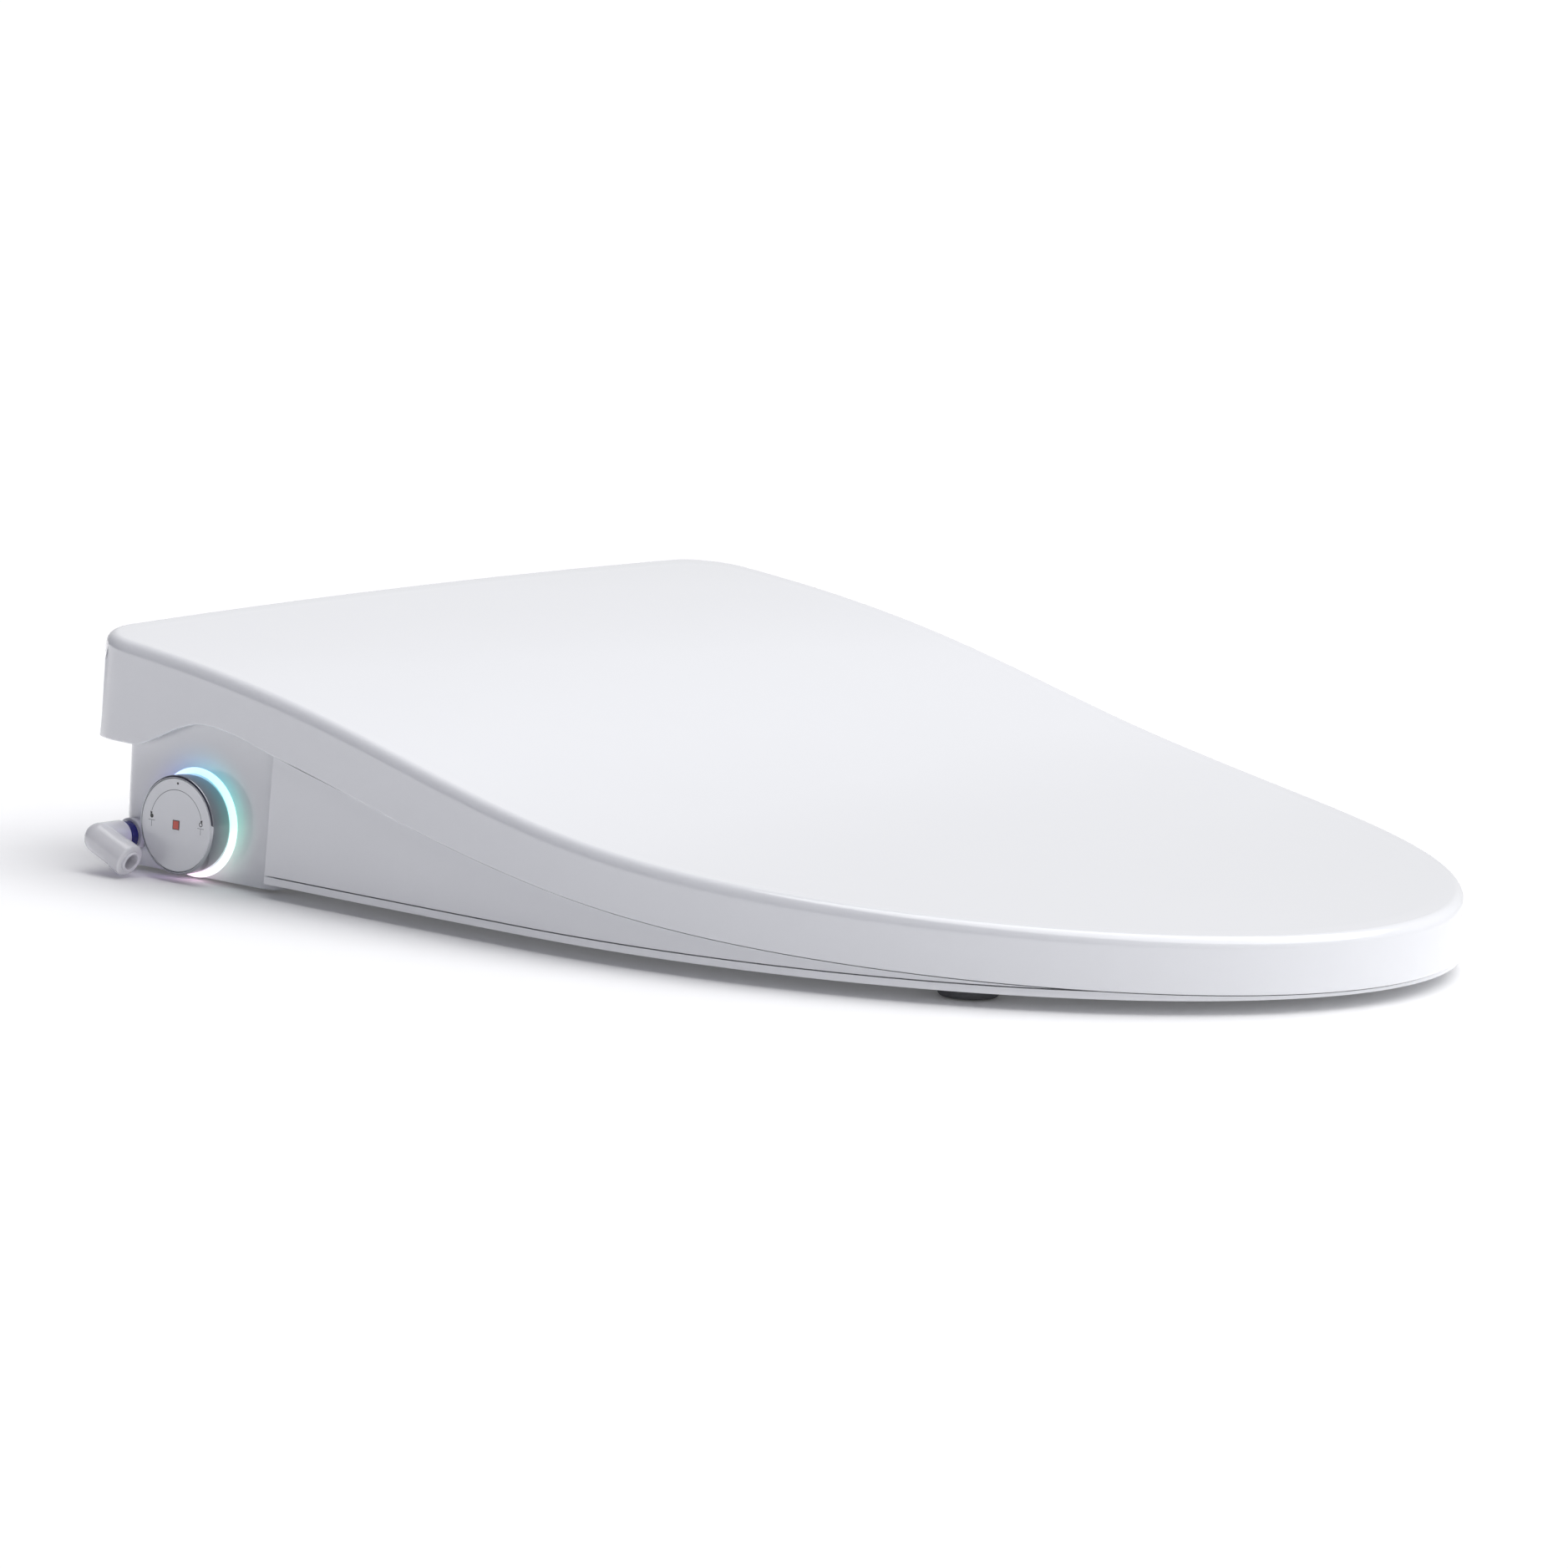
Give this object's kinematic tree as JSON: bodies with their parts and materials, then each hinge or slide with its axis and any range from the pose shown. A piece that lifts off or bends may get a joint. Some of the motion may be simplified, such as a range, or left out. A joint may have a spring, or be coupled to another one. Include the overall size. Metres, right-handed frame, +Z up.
{
  "type": "bidet seat",
  "caption": "Electric bidet seat: side housing with a lit control knob and water inlet elbow, hinged seat ring and deep-skirted lid, sliding wash nozzles and dryer.",
  "frame": {"origin": "midpoint of the two bowl bolts, on the face of the bracket that lies on the bowl's rim", "axes": "+Z up, +Y towards the rear, -Y towards the front tip, -X to the seated user's right (knob side)"},
  "size_m": [0.3932, 0.5155, 0.0923],
  "materials": {
    "gloss_white": "polished glossy white",
    "satin_white": "satin white",
    "bracket_plastic": "satin pale grey",
    "grey_rubber": "dark grey rubber",
    "chrome": "bright chrome",
    "knob_silver": "satin silver white",
    "stop_red": "red inlay",
    "ring_glow": "frosted light guide, lit",
    "inlet_white": "moulded white",
    "collet_white": "moulded white",
    "band_blue": "blue ring",
    "filter_mesh": "woven mesh",
    "steel": "bright steel",
    "tank_plastic": "natural plastic",
    "black_plastic": "black moulded",
    "motor_metal": "zinc plated",
    "gear_plastic": "natural acetal",
    "nozzle_white": "glossy white",
    "hose_clear": "translucent silicone",
    "board_green": "circuit board",
    "foil": "heating foil",
    "heater_ceramic": "mica and ceramic",
    "lens_clear": "frosted lens"
  },
  "bodies": {
    "housing": {"base_tray": "satin_white", "bolt_adjusters": "bracket_plastic", "cord_gland": "black_plastic", "cover_screws": "steel", "deodoriser_case": "satin_white", "diverter_valve": "black_plastic", "dryer_case": "satin_white", "dryer_duct": "satin_white", "dryer_heater": "heater_ceramic", "dryer_motor": "motor_metal", "heater_tank": "tank_plastic", "hinge_pins": "steel", "housing_cover": "gloss_white", "housing_feet": "grey_rubber", "inlet_band": "band_blue", "inlet_filter": "filter_mesh", "inlet_hose": "hose_clear", "inlet_union": "inlet_white", "knob_encoder": "black_plastic", "led_board": "board_green", "lid_damper": "black_plastic", "light_ring": "ring_glow", "main_board": "board_green", "mount_bracket": "bracket_plastic", "night_light_lens": "lens_clear", "nozzle_cradle": "satin_white", "nozzle_motors": "motor_metal", "nozzle_shroud": "satin_white", "outlet_hose": "hose_clear", "power_module": "black_plastic", "seat_damper": "black_plastic", "solenoid_valve": "black_plastic"},
    "seat": {"seat_top": "gloss_white", "seat_bottom": "gloss_white", "seat_heater": "foil", "seat_sensor": "board_green", "seat_bumpers": "grey_rubber", "seat_hinge_arms": "gloss_white"},
    "lid": {"lid_shell": "gloss_white", "lid_hinge_arms": "gloss_white", "lid_bumpers": "grey_rubber"},
    "spindle": {"knob_spindle": "steel"},
    "knob": {"knob_shell": "chrome", "knob_face": "knob_silver", "knob_stop_mark": "stop_red"},
    "elbow": {"elbow_body": "inlet_white"},
    "collet": {"elbow_collet": "collet_white"},
    "rear_nozzle": {"rear_nozzle_tube": "nozzle_white", "rear_nozzle_tip": "nozzle_white"},
    "front_nozzle": {"front_nozzle_tube": "nozzle_white", "front_nozzle_tip": "nozzle_white"},
    "rear_pinion": {"rear_pinion": "gear_plastic"},
    "front_pinion": {"front_pinion": "gear_plastic"},
    "fan": {"dryer_impeller": "black_plastic"},
    "flap": {"dryer_flap": "satin_white"},
    "cartridge": {"filter_cartridge": "gloss_white"},
    "button": {"release_button": "satin_white"}
  },
  "joints": [
    {"name": "seat_hinge", "type": "hinge", "parent": "housing", "child": "seat", "pos_m": [0, 0.022, 0.068], "axis": [-1, 0, 0], "range_deg": [0, 95]},
    {"name": "lid_hinge", "type": "hinge", "parent": "seat", "child": "lid", "pos_m": [0, 0.022, 0.068], "axis": [1, 0, 0], "range_deg": [-100, 0]},
    {"name": "knob_turn", "type": "hinge", "parent": "housing", "child": "spindle", "pos_m": [-0.178, -0.0133, 0.0224], "axis": [-1, 0, 0], "range_deg": [-90, 90]},
    {"name": "knob_press", "type": "slide", "parent": "spindle", "child": "knob", "axis": [1, 0, 0], "range_m": [0, 0.0012], "stiffness_N_per_m": 600},
    {"name": "elbow_swivel", "type": "hinge", "parent": "housing", "child": "elbow", "pos_m": [-0.19, 0.0194, 0.0131], "axis": [1, 0, 0], "range_deg": [-180, 0]},
    {"name": "collet_press", "type": "slide", "parent": "elbow", "child": "collet", "axis": [0, 0.9272, 0.3746], "range_m": [0, 0.001], "stiffness_N_per_m": 300},
    {"name": "rear_nozzle_slide", "type": "slide", "parent": "housing", "child": "rear_nozzle", "axis": [0, -0.9703, -0.2419], "range_m": [0, 0.052]},
    {"name": "front_nozzle_slide", "type": "slide", "parent": "housing", "child": "front_nozzle", "axis": [0, -0.9703, -0.2419], "range_m": [0, 0.058]},
    {"name": "rear_pinion_spin", "type": "hinge", "parent": "housing", "child": "rear_pinion", "pos_m": [-0.01, -0.04324, 0.03713], "axis": [1, 0, 0], "range_deg": [-720, 0]},
    {"name": "front_pinion_spin", "type": "hinge", "parent": "housing", "child": "front_pinion", "pos_m": [0.01, -0.04324, 0.03713], "axis": [1, 0, 0], "range_deg": [-720, 0]},
    {"name": "fan_spin", "type": "hinge", "parent": "housing", "child": "fan", "pos_m": [0.082, -0.005, 0.025], "axis": [0, 0, 1], "continuous": true},
    {"name": "flap_swing", "type": "hinge", "parent": "housing", "child": "flap", "pos_m": [0.062, -0.0584, 0.0298], "axis": [-1, 0, 0], "range_deg": [0, 65]},
    {"name": "cartridge_slide", "type": "slide", "parent": "housing", "child": "cartridge", "axis": [1, 0, 0], "range_m": [0, 0.05]},
    {"name": "release_press", "type": "slide", "parent": "housing", "child": "button", "axis": [-1, 0, 0], "range_m": [0, 0.0025], "stiffness_N_per_m": 800}
  ],
  "couplings": [
    {"joint": "rear_pinion_spin", "follows": "rear_nozzle_slide", "rad_per_m": -166.67},
    {"joint": "front_pinion_spin", "follows": "front_nozzle_slide", "rad_per_m": -166.67}
  ]
}
